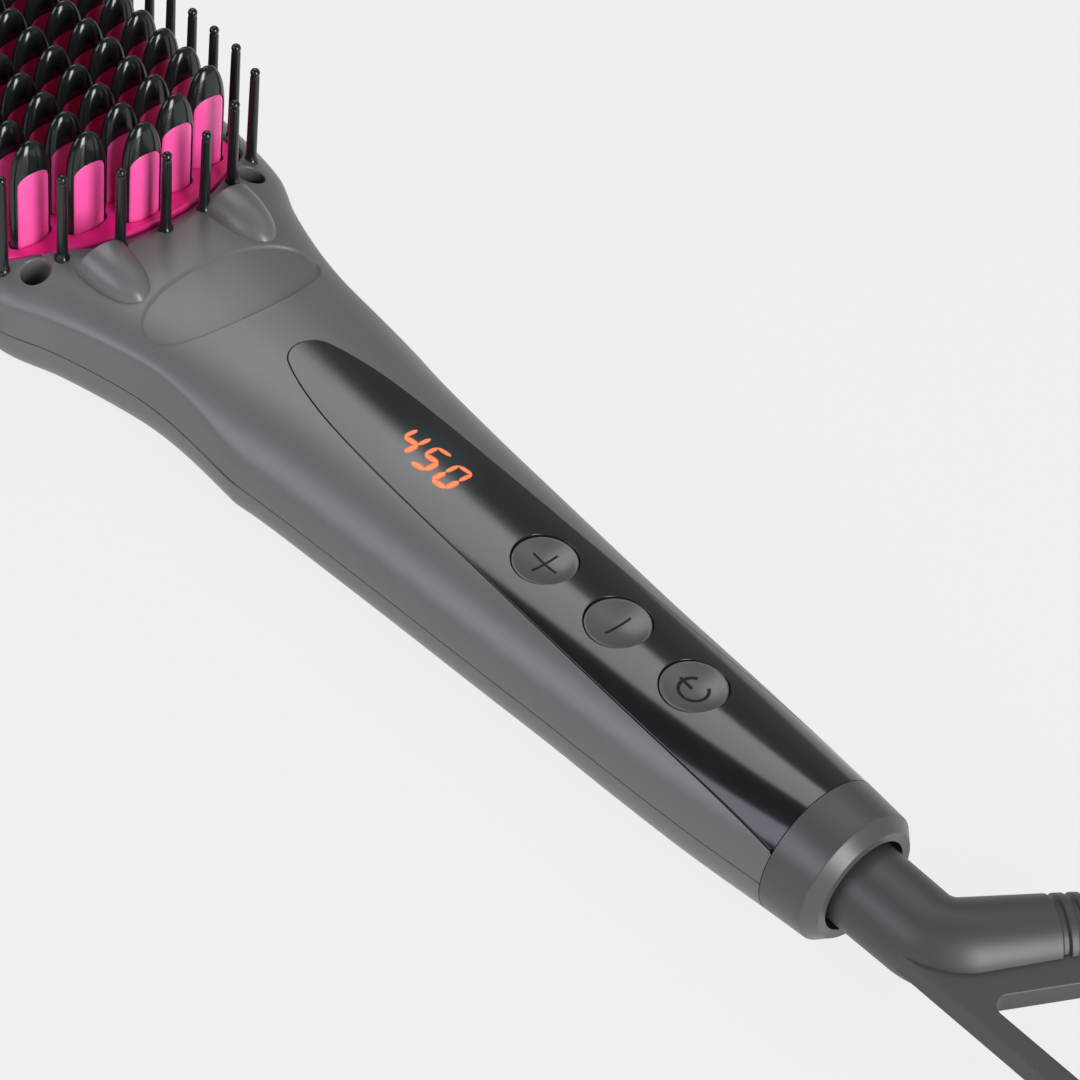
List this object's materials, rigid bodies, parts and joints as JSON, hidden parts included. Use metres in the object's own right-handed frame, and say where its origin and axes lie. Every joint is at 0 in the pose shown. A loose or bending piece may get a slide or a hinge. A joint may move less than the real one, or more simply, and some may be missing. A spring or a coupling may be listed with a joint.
{
  "type": "hair straightening brush",
  "caption": "Heated straightening brush with capped heating teeth, guard pins, ion outlets, button panel with display and a swivelling bent boot with hanging loop.",
  "frame": {"origin": "on the flat resting patch of the back, under the middle of the bristle field", "axes": "+Z out along the teeth, +Y along the brush towards the head's tip, +X to the right"},
  "size_m": [0.0715, 0.3059, 0.04],
  "materials": {
    "shell": "satin dark grey",
    "boot": "satin dark grey",
    "gloss_black": "glossy black",
    "panel": "glossy black",
    "pink_coat": "pink coat",
    "bare_aluminium": "bare",
    "plain_steel": "plain",
    "ceramic": "fired white",
    "inner_plastic": "plain",
    "white_plastic": "plain",
    "seal": "matte",
    "lead": "plain",
    "circuit_board": "solder mask",
    "display": "smoked",
    "contact_metal": "plain"
  },
  "bodies": {
    "housing": {"front_shell": "shell", "rear_cover": "shell", "heat_plate": "pink_coat", "heat_fins": "pink_coat", "tooth_caps": "gloss_black", "guard_pins": "gloss_black", "heat_block": "bare_aluminium", "plate_gasket": "seal", "inner_frame": "inner_plastic", "ceramic_heaters": "ceramic", "mica_sheet": "ceramic", "heater_clamp": "plain_steel", "clamp_screws": "plain_steel", "thermistor": "ceramic", "thermal_fuse": "ceramic", "heater_leads": "lead", "thermistor_leads": "lead", "ion_emitters": "ceramic", "ion_generator": "inner_plastic", "ion_leads": "lead", "head_screws": "plain_steel", "handle_screws": "plain_steel", "control_panel": "panel", "led_display": "display", "tact_switches": "inner_plastic", "control_board": "circuit_board", "microcontroller": "inner_plastic", "power_board": "circuit_board", "capacitor": "inner_plastic", "triac": "inner_plastic", "supply_leads": "lead", "board_pillars": "white_plastic", "end_collar": "shell", "contact_brushes": "contact_metal"},
    "plus_button": {"button_plus": "gloss_black", "plunger_plus": "white_plastic"},
    "minus_button": {"button_minus": "gloss_black", "plunger_minus": "white_plastic"},
    "power_button": {"button_power": "gloss_black", "plunger_power": "white_plastic"},
    "swivel": {"swivel_boot": "boot", "slip_rings": "contact_metal", "swivel_clip": "plain_steel"}
  },
  "joints": [
    {"name": "plus_press", "type": "slide", "parent": "housing", "child": "plus_button", "axis": [0, 0, -1], "range_m": [0, 0.0004], "stiffness_N_per_m": 500},
    {"name": "minus_press", "type": "slide", "parent": "housing", "child": "minus_button", "axis": [0, 0, -1], "range_m": [0, 0.0004], "stiffness_N_per_m": 500},
    {"name": "power_press", "type": "slide", "parent": "housing", "child": "power_button", "axis": [0, 0, -1], "range_m": [0, 0.0004], "stiffness_N_per_m": 500},
    {"name": "cord_swivel", "type": "hinge", "parent": "housing", "child": "swivel", "pos_m": [0, -0.1987, 0.0138], "axis": [0, -0.9992, 0.0401], "continuous": true}
  ]
}
